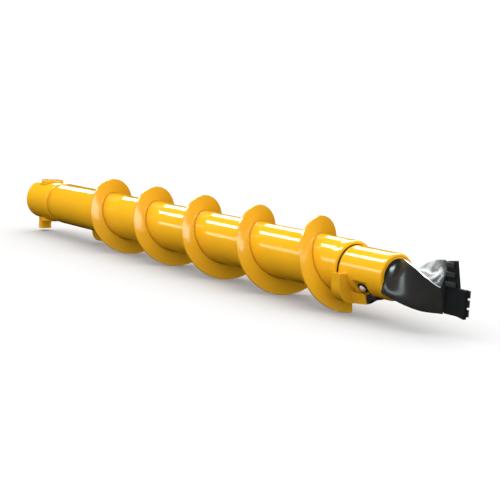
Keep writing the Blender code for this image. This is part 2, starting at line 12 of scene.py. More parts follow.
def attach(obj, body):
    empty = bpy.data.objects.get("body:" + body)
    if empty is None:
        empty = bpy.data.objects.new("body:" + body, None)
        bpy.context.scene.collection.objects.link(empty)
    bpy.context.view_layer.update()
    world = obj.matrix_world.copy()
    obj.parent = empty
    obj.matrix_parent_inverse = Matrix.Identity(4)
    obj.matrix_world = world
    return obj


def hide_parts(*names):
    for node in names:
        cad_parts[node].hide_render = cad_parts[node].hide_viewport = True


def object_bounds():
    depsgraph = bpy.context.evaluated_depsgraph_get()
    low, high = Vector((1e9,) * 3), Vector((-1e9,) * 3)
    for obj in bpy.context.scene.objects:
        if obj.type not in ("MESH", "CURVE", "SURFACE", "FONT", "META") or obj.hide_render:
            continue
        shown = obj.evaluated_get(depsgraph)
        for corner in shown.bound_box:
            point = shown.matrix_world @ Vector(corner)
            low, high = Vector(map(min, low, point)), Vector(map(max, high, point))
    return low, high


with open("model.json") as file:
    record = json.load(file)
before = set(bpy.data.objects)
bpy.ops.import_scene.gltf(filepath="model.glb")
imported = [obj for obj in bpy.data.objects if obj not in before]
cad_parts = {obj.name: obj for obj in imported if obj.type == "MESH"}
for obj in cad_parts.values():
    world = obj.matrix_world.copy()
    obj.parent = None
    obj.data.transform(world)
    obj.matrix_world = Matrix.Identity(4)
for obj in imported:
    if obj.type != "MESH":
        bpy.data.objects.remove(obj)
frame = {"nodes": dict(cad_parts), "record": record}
box_before = [list(corner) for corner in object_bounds()]
scene = bpy.context.scene

# Lengths are in metres and angles in degrees. Places along the screw are counted from the mouth
# of the drive socket. Angles go around the screw, from 0 at the top to 90 on the -Y side.
SEAT_X = 0.4170
GAP = 0.0003

# Coupling with its bosses and lug, and the groove behind it
COUPLING_R = 0.1994
COUPLING_ROUNDING = 0.0100
COUPLING_GRID = 0.0300
SOCKET_R = 0.1600
MOUTH_ROUNDING = 0.0060
BOSS_X = 0.1880
BOSS_R = 0.1140
BOSS_SEAT = 0.1605
BOSS_CREST = 0.2124
BOSS_ROUNDING = 0.0030
BOSS_POINTS = 96
BOSS_BEAD = 0.0070
BOSS_BEAD_STEPS = 320
PIN_HOLE_R = 0.0475
PIN_HOLE_PLAY = 0.0004
PIN_HOLE_CUT = 0.4000
LUG_LENGTH = 0.1000
LUG_WIDTH = 0.1300
LUG_ROUNDING = 0.0470
LUG_ROUNDING_STEPS = 14
LUG_TOP = 0.1650
LUG_LOW = 0.3090
LUG_EDGE = 0.0080
LUG_SEAT_ENDS = (-0.1, 0.2)
LUG_SEAT_STEPS = 180
GROOVE_START = 0.4350
GROOVE_END = 0.5240
NECK_R = 0.1800
NECK_INNER_R = 0.1620
NECK_LAP = 0.0040

# Stem and flight
STEM_END = 4.7200
STEM_R = 0.2032
STEM_INNER_R = 0.1700
STEM_START_ROUNDING = 0.0060
STEM_END_ROUNDING = 0.0020
FLIGHT_R = 0.3370
FLIGHT_PLATE = 0.0200
FLIGHT_PITCH = 0.7474
FLIGHT_START = 1.0246
FLIGHT_START_ANGLE = 183.2
FLIGHT_TURNS = 5
FLIGHT_TURN_STEPS = 120
FLIGHT_CORNER = 0.1050
FLIGHT_CORNER_STEPS = 14
FLIGHT_CORNER_MARGIN = 1.1
FLIGHT_FOOT = 0.0006
FLIGHT_EDGE = 0.0025
FLIGHT_LEAST_HEIGHT = 0.0010
FLIGHT_BEAD = 0.0090
FLIGHT_BEAD_STEPS = 480

# Shoulder, seal and front sleeve with its pocket
RING_START = STEM_END + GAP
RING_LENGTH = 0.0660
RING_END = RING_START + RING_LENGTH
RING_BORE_R = 0.1453
RING_START_ROUNDING = 0.0015
RING_END_ROUNDING = 0.0142
SEAL_START = RING_END + GAP
SEAL_LENGTH = 0.0080
SEAL_END = SEAL_START + SEAL_LENGTH
SEAL_R = 0.1777
SEAL_ROUNDING = 0.0030
SLEEVE_START = SEAL_END + GAP
SLEEVE_LENGTH = 0.4230
SLEEVE_END = SLEEVE_START + SLEEVE_LENGTH
SLEEVE_R = 0.1716
SLEEVE_START_ROUNDING = 0.0040
SLEEVE_END_ROUNDING = 0.0140
SLEEVE_ROUNDING_STEPS = 6
SLEEVE_STEP_X = 0.0200
SLEEVE_STEPS = 19
SLEEVE_MARGIN = 0.0010
SLEEVE_STEP_ANGLE = 2.25
PASSAGE_R = 0.0950
PASSAGE_LENGTH = 0.1050
BORE_START = SLEEVE_START + PASSAGE_LENGTH
BORE_R = 0.1325
BORE_ROUNDING = 0.0040
LINER_R = 0.1465
LINER_GROOVE = 0.0050
POCKET_START = SLEEVE_START + 0.1432
POCKET_LENGTH = 0.1360
POCKET_END = POCKET_START + POCKET_LENGTH
POCKET_DEPTH = 0.0316
POCKET_TOP_ANGLE = 108.0
POCKET_LOW_ANGLE = 172.0

# Rim of the pocket: insets from its edge that get points, and the depth up to an inset
RIM_PLACES = (-0.0020, -0.0010, 0.0, 0.0006)
RIM_DEPTHS = ((-0.0019, 0.0), (-0.0009, 0.0004), (0.0001, 0.0016))
RIM_CLEAR_ANGLE = 0.35
SAME_RADIUS = 1e-6

# Stop block with its arm; depths are counted down from the screw's axis
BLOCK_START = SLEEVE_START + 0.0037
BLOCK_LENGTH = 0.0875
BLOCK_END = BLOCK_START + BLOCK_LENGTH
BLOCK_SIDE = 0.2367
BLOCK_CORNER = 0.1310
BLOCK_CORNER_STEPS = 16
BLOCK_TOP_DROP = 0.0150
BLOCK_FAR_REACH = 0.0610
BLOCK_EDGE = 0.0025
BLOCK_SHARP = 25.0
BLOCK_HUG_STEPS = 28
HUG_R = SLEEVE_R + GAP
ARM_ROOT = 0.0100
ARM_LENGTH = 0.1469
ARM_TOP_END = BLOCK_END + ARM_LENGTH
ARM_REACH = 0.1260
ARM_WIDTH = 0.0346
ARM_HEEL_REACH = 0.0264
ARM_HUG_STEPS = 14
ARM_SHELF = 0.1480
ARM_RECESS = 0.0006
ARM_LOW = BLOCK_SIDE - ARM_RECESS
ARM_TAPER = 0.0172
ARM_SLANT = 0.0020
ARM_UNDERCUT = 0.0240
SHELF_ANGLE = 180.0 - math.degrees(math.acos(ARM_SHELF / HUG_R))
HEEL_ANGLE = 180.0 - math.degrees(math.asin(ARM_HEEL_REACH / HUG_R))

# Lock in the pocket, its ramp under the sleeve and its bolt
LOCK_LENGTH = 0.0900
LOCK_END = POCKET_END - 0.0006
LOCK_START = LOCK_END - LOCK_LENGTH
LOCK_FLOOR_R = 0.1406
LOCK_HIGH_R = 0.1500
LOCK_TOP_ANGLE = 132.0
LOCK_LOW_ANGLE = 169.0
BRIDGE_INNER_R = 0.1470
BRIDGE_OUTER_R = 0.1746
BRIDGE_ANGLE_GAP = 1.0
WEDGE_GAP = 0.0006
WEDGE_LIFT = 0.0035
WEDGE_NEAR = 0.1150
WEDGE_LOW = 0.2133
WEDGE_LEVEL_END = 0.0100
WEDGE_TIP = 0.1736
WEDGE_TIP_START = 0.0560
WEDGE_LENGTH = 0.0900
COLLAR_R = 0.0450
COLLAR_TOP_R = 0.0435
COLLAR_EDGE = 0.0015
BOLT_X = POCKET_START + 0.0505
BOLT_ANGLE = 136.5
BOLT_R = 0.0260
BOLT_RISE = 0.0160
BOLT_SIDE = 0.0020
BOLT_DOME_STEPS = 8
BOLT_DOME_ANGLE = 11.0

# Bit: (offset from the sleeve's mouth, angle or length); peaks are shares of the face's width
BIT_START = SLEEVE_END + GAP
BIT_LENGTH = 0.4507
BIT_STEPS = 120
FACE_POINTS = 40
FLUTE_POINTS = 14
LEAD_ANGLE = ((0.000, -10.0), (0.069, 11.4), (0.193, 33.8), (0.311, 49.0), (0.380, 60.0),
              (0.451, 79.9))
TRAIL_ANGLE = ((0.000, 122.7), (0.085, 128.0), (0.166, 133.5), (0.248, 143.0), (0.329, 152.5),
               (0.370, 160.0), (0.411, 168.5), (0.451, 174.0))
LEAD_REACH = ((0.000, 0.130), (0.069, 0.163), (0.193, 0.178), (0.288, 0.172),
              (0.380, 0.115), (0.451, 0.058))
NEAR_REACH = ((0.000, 0.186), (0.085, 0.202), (0.166, 0.209), (0.248, 0.207),
              (0.329, 0.203), (0.370, 0.195), (0.411, 0.188), (0.451, 0.185))
FAR_REACH = ((0.000, 0.090), (0.065, 0.092), (0.085, 0.101), (0.125, 0.160), (0.166, 0.195),
             (0.207, 0.204), (0.248, 0.206), (0.329, 0.203), (0.370, 0.195), (0.411, 0.188),
             (0.451, 0.185))
FACE_BULGE = ((0.000, 0.047), (0.045, 0.020), (0.085, 0.014), (0.166, 0.013), (0.268, 0.012),
              (0.380, 0.006), (0.451, 0.000))
FACE_PEAK = ((0.000, 0.48), (0.045, 0.74), (0.085, 0.82), (0.166, 0.84), (0.451, 0.80))
FLUTE_HOLLOW = ((0.000, 0.004), (0.050, 0.040), (0.120, 0.072), (0.288, 0.076),
                (0.380, 0.040), (0.451, 0.004))
LEAD_CHAMFER = ((0.000, 0.0130), (0.250, 0.0120), (0.380, 0.0060), (0.451, 0.0030))
TRAIL_CHAMFER = 0.0100

# Cutting head: two blades that meet at a level, with three teeth each
HEAD_X = BIT_START + BIT_LENGTH + GAP
HEAD_EDGE = 0.0030
BLADE_SPLIT = 0.0170
BLADE_PLAY = 0.00015
UPPER_HEIGHT = 0.1820
UPPER_REACH = 0.1140
UPPER_LEAN = 0.0350
UPPER_FALL = 0.0120
UPPER_SIDES = (-0.0090, 0.0160)
LOWER_HEIGHT = 0.1870
LOWER_REACH = 0.1800
LOWER_LEAN = 0.0050
LOWER_STEP_REACH = 0.1150
LOWER_DROP = 0.0120
LOWER_SIDES = (-0.0120, 0.0180)
TOOTH_COUNT = 3
UPPER_TOOTH_DROP = 0.0160
UPPER_TOOTH_PITCH = 0.0650
UPPER_TOOTH_HEIGHT = 0.0330
UPPER_TOOTH_START = 0.0040
UPPER_TOOTH_SETBACK = 0.0140
UPPER_TOOTH_SIDES = (-0.0233, -0.0093)
LOWER_TOOTH_RISE = 0.0040
LOWER_TOOTH_PITCH = 0.0640
LOWER_TOOTH_HEIGHT = 0.0500
LOWER_TOOTH_LENGTH = 0.0800
LOWER_TOOTH_LEAD = 0.0090
LOWER_TOOTH_SIDES = (0.0183, 0.0323)

# Weld beads: how their size wanders from place to place, and their domed, rippled section
BEAD_WANDER = 0.10
BEAD_SETTLE = 0.35
BEAD_ROOT = 0.05
BEAD_CROWN = 0.30
BEAD_RIPPLE = 0.10
BEAD_RIPPLE_STEPS = 4.0
BEAD_SIDES = 4

# Floor, lights and camera
FLOOR_DROP = 0.0005
FLOOR_HALF = 60.0
FLOOR_CELLS = 8
FLOOR_TONES = (0.56, 0.58)
SKY_STRENGTH = 1.87
SKY_EDGE = (-0.06, -0.04)
STRIP_DISTANCE = 4.5
STRIP_END = 8.5
CAMERA_PLACE = (10.0163, -5.5427, 1.2592)
CAMERA_AZIMUTH = 51.118
CAMERA_ELEVATION = 8.402
CAMERA_ROLL = 2.681
CAMERA_LENS_MM = 78.45
CAMERA_SENSOR_MM = 36.0
CAMERA_CLIP_END = 200.0


# Points and outlines
def around(x, radius, degrees):
    """A point at an angle around the screw: 0 is the top, 90 the -Y side."""
    angle = math.radians(degrees)
    return (x, -radius * math.sin(angle), radius * math.cos(angle))


def arc(radius, first, last, steps):
    """Points (y, z) around the screw's axis, from one angle to another."""
    return [around(0.0, radius, first + (last - first) * k / steps)[1:]
            for k in range(steps + 1)]


def rounded(corners, steps=4):
    """A closed outline whose corners (a, b, rounding) are replaced by arcs."""
    points = []
    count = len(corners)
    for index, (a, b, rounding) in enumerate(corners):
        here = Vector((a, b))
        if rounding <= 0.0:
            points.append((a, b))
            continue
        before = Vector(corners[index - 1][:2])
        after = Vector(corners[(index + 1) % count][:2])
        back = (before - here).normalized()
        ahead = (after - here).normalized()
        half = back.angle(ahead) / 2.0
        reach = rounding / math.tan(half)
        centre = here + (back + ahead).normalized() * (rounding / math.sin(half))
        first = here + back * reach - centre
        last = here + ahead * reach - centre
        start = math.atan2(first.y, first.x)
        sweep = (math.atan2(last.y, last.x) - start + math.pi) % (2.0 * math.pi) - math.pi
        for k in range(steps + 1):
            angle = start + sweep * k / steps
            points.append((centre.x + rounding * math.cos(angle),
                           centre.y + rounding * math.sin(angle)))
    return points


def filled(points, spacing):
    """Adds points on the long runs of a closed outline."""
    made = []
    for index, here in enumerate(points):
        after = points[(index + 1) % len(points)]
        parts = max(1, math.ceil(math.dist(here, after) / spacing))
        for k in range(parts):
            t = k / parts
            made.append((here[0] + (after[0] - here[0]) * t, here[1] + (after[1] - here[1]) * t))
    return made


def bowed(start, end, bow, points, peak=0.5):
    """Points between two corners along a curve that bows to the left of the line."""
    dy = end[0] - start[0]
    dz = end[1] - start[1]
    length = math.hypot(dy, dz)
    lean = math.log(0.5) / math.log(peak)
    made = []
    for k in range(1, points + 1):
        t = k / (points + 1)
        lift = bow * math.sin(math.pi * t ** lean)
        made.append((start[0] + dy * t - dz / length * lift,
                     start[1] + dz * t + dy / length * lift))
    return made


def toward(start, end, distance):
    """The point at a distance from start on the way to end."""
    part = distance / math.dist(start, end)
    return (start[0] + (end[0] - start[0]) * part, start[1] + (end[1] - start[1]) * part)


def smooth_value(table, x):
    """Value at x of a table of (x, value) pairs, along a smooth curve through them."""
    last = len(table) - 1
    if x <= table[0][0]:
        return table[0][1]
    if x >= table[last][0]:
        return table[last][1]
    index = 0
    while table[index + 1][0] < x:
        index += 1
    slopes = []
    for k in (index, index + 1):
        low = max(k - 1, 0)
        high = min(k + 1, last)
        slopes.append((table[high][1] - table[low][1]) / (table[high][0] - table[low][0]))
    start, start_value = table[index]
    end, end_value = table[index + 1]
    span = end - start
    t = (x - start) / span
    return (start_value * (2.0 * t ** 3 - 3.0 * t ** 2 + 1.0)
            + slopes[0] * span * (t ** 3 - 2.0 * t ** 2 + t)
            + end_value * (3.0 * t ** 2 - 2.0 * t ** 3)
            + slopes[1] * span * (t ** 3 - t ** 2))


# Meshes
def lofted(sections, ring=False):
    """Faces through equal loops of points, closed by end faces or back to the first loop."""
    mesh_data = bmesh.new()
    rings = [[mesh_data.verts.new(point) for point in section] for section in sections]
    count = len(rings[0])
    pairs = len(rings) if ring else len(rings) - 1
    for index in range(pairs):
        here = rings[index]
        there = rings[(index + 1) % len(rings)]
        for k in range(count):
            after = (k + 1) % count
            mesh_data.faces.new((here[k], here[after], there[after], there[k]))
    if not ring:
        mesh_data.faces.new(rings[0])
        mesh_data.faces.new(list(reversed(rings[-1])))
    return mesh_data


def prism(outline, x_low, x_high):
    """A block along the screw whose outline is given as (y, z) points."""
    return lofted([[(x, y, z) for y, z in outline] for x in (x_low, x_high)])


def turned(corners, segments=160, steps=4, spacing=math.inf):
    """A ring turned around the screw from corners (x, radius, rounding)."""
    profile = filled(rounded(corners, steps), spacing)
    return lofted([
        [around(x, r, 360.0 * k / segments) for x, r in profile] for k in range(segments)
    ], ring=True)


def upright(profile, x, side, segments):
    """A ring turned around a vertical line; profile holds (radius, height)."""
    sections = []
    for k in range(segments):
        angle = 2.0 * math.pi * k / segments
        sections.append([(x + r * math.cos(angle), r * math.sin(angle), side * z)
                         for r, z in profile])
    return lofted(sections, ring=True)


def radial(x, degrees, levels, segments=64):
    """A round piece that points away from the screw's axis; levels holds (reach, radius)."""
    angle = math.radians(degrees)
    sections = []
    for reach, radius in levels:
        section = []
        for k in range(segments):
            turn = 2.0 * math.pi * k / segments
            side = radius * math.sin(turn)
            section.append((x + radius * math.cos(turn),
                            -reach * math.sin(angle) + side * math.cos(angle),
                            reach * math.cos(angle) + side * math.sin(angle)))
        sections.append(section)
    return lofted(sections)


def arc_block(x_low, x_high, inner, outer, first, last, steps=30):
    """A block that wraps part of the screw."""
    return prism(arc(inner, first, last, steps) + arc(outer, last, first, steps), x_low, x_high)


def bead(stations, leg, seed, ring=False):
    """A fillet weld; stations holds (corner point, direction one, direction two)."""
    dice = random.Random(seed)
    sections = []
    size = 1.0
    for index, (corner, one, two) in enumerate(stations):
        corner, one, two = Vector(corner), Vector(one), Vector(two)
        size += BEAD_SETTLE * (1.0 + dice.uniform(-BEAD_WANDER, BEAD_WANDER) - size)
        wave = 1.0 + BEAD_RIPPLE * math.cos(2.0 * math.pi * index / BEAD_RIPPLE_STEPS)
        reach = leg * size
        section = [corner - (one + two) * leg * BEAD_ROOT]
        for k in range(BEAD_SIDES + 1):
            t = k / BEAD_SIDES
            dome = 1.0 + BEAD_CROWN * math.sin(math.pi * t) * wave
            section.append(corner + (one * (1.0 - t) + two * t) * reach * dome)
        sections.append([tuple(point) for point in section])
    return lofted(sections, ring=ring)


def joined(parts):
    """One bmesh with the faces of several."""
    mesh_data = bmesh.new()
    for part in parts:
        twin = bpy.data.meshes.new("part")
        part.to_mesh(twin)
        part.free()
        mesh_data.from_mesh(twin)
        bpy.data.meshes.remove(twin)
    return mesh_data


# Objects
def scene_object(name, mesh_data):
    """Turns a bmesh into an object of the scene."""
    mesh = bpy.data.meshes.new(name)
    mesh_data.to_mesh(mesh)
    mesh_data.free()
    made = bpy.data.objects.new(name, mesh)
    scene.collection.objects.link(made)
    return made


def plain_object(name, mesh_data):
    """An object without a look, moved so that the origin lies on the socket's seat."""
    bmesh.ops.translate(mesh_data, verts=mesh_data.verts, vec=(-SEAT_X, 0.0, 0.0))
    bmesh.ops.recalc_face_normals(mesh_data, faces=mesh_data.faces)
    return scene_object(name, mesh_data)


def shaded(made, sharp=32.0):
    """Shades a piece smoothly, apart from edges sharper than an angle."""
    made.data.shade_smooth()
    made.data.set_sharp_from_angle(angle=math.radians(sharp))


def made_object(name, mesh_data, node_names, look, sharp=32.0):
    """Turns a bmesh into a piece that stands for some nodes of the frame."""
    made = plain_object(name, mesh_data)
    shaded(made, sharp)
    made.data.materials.append(look)
    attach(made, "root")
    if node_names:
        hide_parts(*node_names)
    return made


def bevelled(made, width, angle=30.0, segments=3):
    """Rounds the hard edges of a piece."""
    change = made.modifiers.new("rounding", "BEVEL")
    change.width = width
    change.segments = segments
    change.limit_method = "ANGLE"
    change.angle_limit = math.radians(angle)
    change.harden_normals = True


def merged(made, other, operation, sharp=32.0):
    """Applies a boolean of a piece with another object, which is then removed."""
    change = made.modifiers.new(operation.lower(), "BOOLEAN")
    change.operation = operation
    change.solver = "EXACT"
    change.object = other
    bpy.context.view_layer.update()
    made.data = bpy.data.meshes.new_from_object(
        made.evaluated_get(bpy.context.evaluated_depsgraph_get()))
    made.modifiers.clear()
    bpy.data.objects.remove(other)
    shaded(made, sharp)


# Materials
MIX_FACTOR, MIX_FIRST, MIX_SECOND, MIX_RESULT = 0, 6, 7, 2


def shader_of(name):
    """A new material with its node tree and its main shader."""
    made = bpy.data.materials.new(name)
    made.use_nodes = True
    tree = made.node_tree
    return made, tree, tree.nodes["Principled BSDF"]


def add(tree, kind, **values):
    """A new node with some of its settings."""
    node = tree.nodes.new(kind)
    for key, value in values.items():
        setattr(node, key, value)
    return node


def noise_node(tree, coordinates, scale, detail=4.0, roughness=0.55):
    """A noise pattern of 0 to 1; scale is in patches per metre."""
    made = add(tree, "ShaderNodeTexNoise")
    made.inputs["Scale"].default_value = scale
    made.inputs["Detail"].default_value = detail
    made.inputs["Roughness"].default_value = roughness
    tree.links.new(coordinates, made.inputs["Vector"])
    return made.outputs["Fac"]


def remap(tree, value, source, target):
    """A value moved from one range (low, high) to another."""
    made = add(tree, "ShaderNodeMapRange")
    made.inputs["From Min"].default_value, made.inputs["From Max"].default_value = source
    made.inputs["To Min"].default_value, made.inputs["To Max"].default_value = target
    tree.links.new(value, made.inputs["Value"])
    return made.outputs["Result"]


def blended(tree, factor, first, second):
    """A colour between two colours or colour outputs."""
    made = add(tree, "ShaderNodeMix", data_type="RGBA")
    for key, value in ((MIX_FIRST, first), (MIX_SECOND, second)):
        if isinstance(value, tuple):
            made.inputs[key].default_value = (*value, 1.0)
        else:
            tree.links.new(value, made.inputs[key])
    tree.links.new(factor, made.inputs[MIX_FACTOR])
    return made.outputs[MIX_RESULT]


def add_relief(tree, shader, height, depth, strength=0.02):
    """Fine bumps on a surface."""
    bump = add(tree, "ShaderNodeBump")
    bump.inputs["Strength"].default_value = strength
    bump.inputs["Distance"].default_value = depth
    tree.links.new(height, bump.inputs["Height"])
    tree.links.new(bump.outputs["Normal"], shader.inputs["Normal"])


def paint_material(name, colour, shade, roughness=0.07, depth=0.0004, gloss=1.3):
    """Gloss paint: slightly uneven colour, fine orange-peel relief, duller dust film."""
    made, tree, shader = shader_of(name)
    place = add(tree, "ShaderNodeTexCoord").outputs["Object"]
    broad = noise_node(tree, place, scale=2.3, detail=3.0)
    fine = noise_node(tree, place, scale=38.0, detail=5.0)
    orange_peel = noise_node(tree, place, scale=420.0, detail=2.0)
    mottled = blended(tree, remap(tree, broad, (0.3, 0.7), (0.0, 1.0)), colour, shade)
    dust = remap(tree, fine, (0.62, 0.82), (0.0, 0.35))
    dull = tuple(0.6 * part for part in shade)
    tree.links.new(blended(tree, dust, mottled, dull), shader.inputs["Base Color"])
    tree.links.new(remap(tree, fine, (0.3, 0.75), (roughness, roughness + 0.04)),
                   shader.inputs["Roughness"])
    shader.inputs["IOR"].default_value = gloss
    add_relief(tree, shader, orange_peel, depth)
    return made


def steel_material(name, colour, shade, roughness, metallic=0.0, depth=0.0006, grain=90.0,
                   gloss=1.5):
    """Forged or machined steel with uneven sheen."""
    made, tree, shader = shader_of(name)
    place = add(tree, "ShaderNodeTexCoord").outputs["Object"]
    broad = noise_node(tree, place, scale=6.0)
    fine = noise_node(tree, place, scale=grain)
    tree.links.new(blended(tree, remap(tree, broad, (0.35, 0.7), (0.0, 1.0)), colour, shade),
                   shader.inputs["Base Color"])
    tree.links.new(remap(tree, fine, (0.3, 0.75), (roughness - 0.02, roughness + 0.04)),
                   shader.inputs["Roughness"])
    shader.inputs["Metallic"].default_value = metallic
    shader.inputs["IOR"].default_value = gloss
    shader.inputs["Specular Tint"].default_value = (0.82, 0.97, 1.0, 1.0)
    add_relief(tree, shader, fine, depth)
    return made


PAINT = paint_material("yellow_gloss_paint", (0.83, 0.42, 0.015), (0.80, 0.40, 0.014))
# A darker, rougher copy of the yellow paint; its darker colour is painted shade on the neck, flight
# and block.
SHADED_PAINT = paint_material("satin_paint_painted_shade", (0.71, 0.36, 0.014), (0.68, 0.345, 0.013),
                             roughness=0.15)
# The welds' darker paint is painted shade along the roots where the welds lie.
SHADED_WELD = paint_material("weld_paint_painted_shade", (0.50, 0.22, 0.005), (0.40, 0.17, 0.004),
                      roughness=0.5, depth=0.001, gloss=1.08)
STEEL = steel_material("black_forged_steel", (0.022, 0.022, 0.021), (0.028, 0.028, 0.026),
                       roughness=0.20, gloss=1.32)
FLUTE = steel_material("lighter_flute_steel", (0.042, 0.047, 0.049), (0.054, 0.060, 0.062),
                       roughness=0.28, gloss=1.30)
# Pale grey for the bit's leading chamfers is a painted highlight.
EDGE_HIGHLIGHT = steel_material("edge_painted_highlight", (0.60, 0.61, 0.62), (0.50, 0.51, 0.52),
                      roughness=0.3, metallic=0.1)
HEAD = steel_material("black_head_steel", (0.006, 0.007, 0.008), (0.009, 0.010, 0.011),
                      roughness=0.45, gloss=1.2)
TOOTH = steel_material("tooth_steel", (0.026, 0.026, 0.024), (0.032, 0.032, 0.030),
                       roughness=0.45, gloss=1.2)
RUBBER = steel_material("black_rubber", (0.002, 0.002, 0.002), (0.004, 0.004, 0.004),
                        roughness=0.6, gloss=1.1)
# The bolt head's steel is pale, and made near-white as a painted highlight.
BOLT_HIGHLIGHT = steel_material("bolt_steel_painted_highlight", (0.86, 0.86, 0.88), (0.78, 0.78, 0.80),
                        roughness=0.35, metallic=0.2, depth=0.0002, grain=200.0)

# The nodes that no piece stands for, such as the socket's seat, keep their solids
looks = {"yellow_paint": PAINT, "black_steel": STEEL, "seal": RUBBER, "bright_steel": BOLT_HIGHLIGHT}
slots = {part["node"]: part["material_slot"] for part in frame["record"]["subparts"]}
for name, node in frame["nodes"].items():
    node.data.materials.clear()
    node.data.materials.append(looks[slots[name]])


# Drive end
def add_coupling():
    """The sleeve of the drive socket with the hole for the cross pin."""
    coupling = made_object("coupling", turned((
        (0.0, SOCKET_R, MOUTH_ROUNDING), (GROOVE_START, SOCKET_R, 0.0),
        (GROOVE_START, COUPLING_R, COUPLING_ROUNDING), (0.0, COUPLING_R, MOUTH_ROUNDING),
    ), spacing=COUPLING_GRID), ["coupling_sleeve"], PAINT)
    hole_r = PIN_HOLE_R + PIN_HOLE_PLAY
    merged(coupling, plain_object("pin_hole", radial(
        BOSS_X, 0.0, ((-PIN_HOLE_CUT, hole_r), (PIN_HOLE_CUT, hole_r)), BOSS_POINTS)),
        "DIFFERENCE")


def add_boss(side, name):
    """A round boss on the coupling and the weld around it; side is 1 on top, -1 below."""
    profile = rounded(((PIN_HOLE_R, BOSS_SEAT, 0.0), (BOSS_R, BOSS_SEAT, 0.0),
                       (BOSS_R, BOSS_CREST, BOSS_ROUNDING),
                       (PIN_HOLE_R, BOSS_CREST, BOSS_ROUNDING)))
    made_object(name + "_boss", upright(profile, BOSS_X, side, BOSS_POINTS), [name],
                PAINT)
    stations = []
    for k in range(BOSS_BEAD_STEPS):
        angle = 2.0 * math.pi * k / BOSS_BEAD_STEPS
        y = BOSS_R * math.sin(angle)
        z = math.sqrt(COUPLING_R ** 2 - y * y)
        slope = -y * math.sin(angle) / z
        stations.append(((BOSS_X + BOSS_R * math.cos(angle), y, side * z),
                         (math.cos(angle), math.sin(angle), side * slope), (0.0, 0.0, side)))
    made_object(name + "_weld", bead(stations, BOSS_BEAD, seed=3, ring=True), [],
                SHADED_WELD)


def add_lug():
    """The lug under the coupling, cut to fit around it."""
    outline = rounded([(x, y, LUG_ROUNDING) for x, y in (
        (0.0, -LUG_WIDTH / 2.0), (LUG_LENGTH, -LUG_WIDTH / 2.0),
        (LUG_LENGTH, LUG_WIDTH / 2.0), (0.0, LUG_WIDTH / 2.0))], LUG_ROUNDING_STEPS)
    lug = made_object("lug", lofted([
        [(x, y, z) for x, y in outline] for z in (-LUG_TOP, -LUG_LOW)
    ]), ["coupling_lug"], PAINT)
    seat = arc(COUPLING_R + GAP, 0.0, 360.0, LUG_SEAT_STEPS)[:-1]
    merged(lug, plain_object("lug_seat", prism(seat, *LUG_SEAT_ENDS)), "DIFFERENCE")
    bevelled(lug, LUG_EDGE, angle=60.0)


def add_neck():
    """The groove's bottom, darkened as painted shade; its ends lie under its neighbours."""
    made_object("neck", turned((
        (GROOVE_START - NECK_LAP, NECK_INNER_R, 0.0), (GROOVE_END + NECK_LAP, NECK_INNER_R, 0.0),
        (GROOVE_END + NECK_LAP, NECK_R, 0.0), (GROOVE_START - NECK_LAP, NECK_R, 0.0),
    )), ["coupling_neck"], SHADED_PAINT)


def add_stem():
    """The stem's tube, from the groove to the shoulder."""
    made_object("stem", turned((
        (GROOVE_END, STEM_INNER_R, 0.0), (STEM_END, STEM_INNER_R, 0.0),
        (STEM_END, STEM_R, STEM_END_ROUNDING), (GROOVE_END, STEM_R, STEM_START_ROUNDING),
    )), ["stem_tube"], PAINT)


# Flight
def flight_reach(turn):
    """Outer radius of the flight; its first corner is rounded."""
    run = 2.0 * math.pi * FLIGHT_R * turn
    if run >= FLIGHT_CORNER:
        return FLIGHT_R
    fall = FLIGHT_CORNER - run
    return FLIGHT_R - FLIGHT_CORNER + math.sqrt(FLIGHT_CORNER ** 2 - fall ** 2)


def flight_places():
    """Turns at which the flight has a section, closer together in its rounded corner."""
    corner = FLIGHT_CORNER / (2.0 * math.pi * FLIGHT_R)
    places = [corner * (k / FLIGHT_CORNER_STEPS) ** 2 for k in range(FLIGHT_CORNER_STEPS + 1)]
    steps = FLIGHT_TURNS * FLIGHT_TURN_STEPS
    places += [turn for turn in (FLIGHT_TURNS * k / steps for k in range(1, steps + 1))
               if turn > corner * FLIGHT_CORNER_MARGIN]
    return places


def add_flight():
    """The flight plate in one piece, darkened as painted shade."""
    sections = []
    for turn in flight_places():
        x = FLIGHT_START + FLIGHT_PITCH * turn
        half = FLIGHT_PLATE / 2.0
        inner = STEM_R + FLIGHT_FOOT
        outer = flight_reach(turn)
        edge = min(FLIGHT_EDGE, max(outer - inner, FLIGHT_LEAST_HEIGHT) / 3.0)
        outline = rounded(((x - half, inner, 0.0), (x - half, outer, edge),
                           (x + half, outer, edge), (x + half, inner, 0.0)), 3)
        sections.append([around(a, r, FLIGHT_START_ANGLE + 360.0 * turn) for a, r in outline])
    made_object("flight", lofted(sections),
                ["flight_turn_%d" % (k + 1) for k in range(FLIGHT_TURNS)],
                SHADED_PAINT)


def add_flight_weld(side, name):
    """The weld along one root of the flight; side is -1 toward the drive, 1 toward the bit."""
    stations = []
    steps = FLIGHT_TURNS * FLIGHT_BEAD_STEPS
    for k in range(steps + 1):
        turn = FLIGHT_TURNS * k / steps
        x = FLIGHT_START + FLIGHT_PITCH * turn + side * FLIGHT_PLATE / 2.0
        degrees = FLIGHT_START_ANGLE + 360.0 * turn
        stations.append((around(x, STEM_R, degrees), (side, 0.0, 0.0),
                         around(0.0, 1.0, degrees)))
    made_object(name, bead(stations, FLIGHT_BEAD, seed=7), [], SHADED_WELD)


# Shoulder, seal and front sleeve
def add_shoulder():
    """The rounded end of the stem."""
    made_object("end_ring", turned((
        (RING_START, RING_BORE_R, 0.0), (RING_END, RING_BORE_R, 0.0),
        (RING_END, STEM_R, RING_END_ROUNDING), (RING_START, STEM_R, RING_START_ROUNDING),
    ), steps=8), ["stem_end_ring"], PAINT)


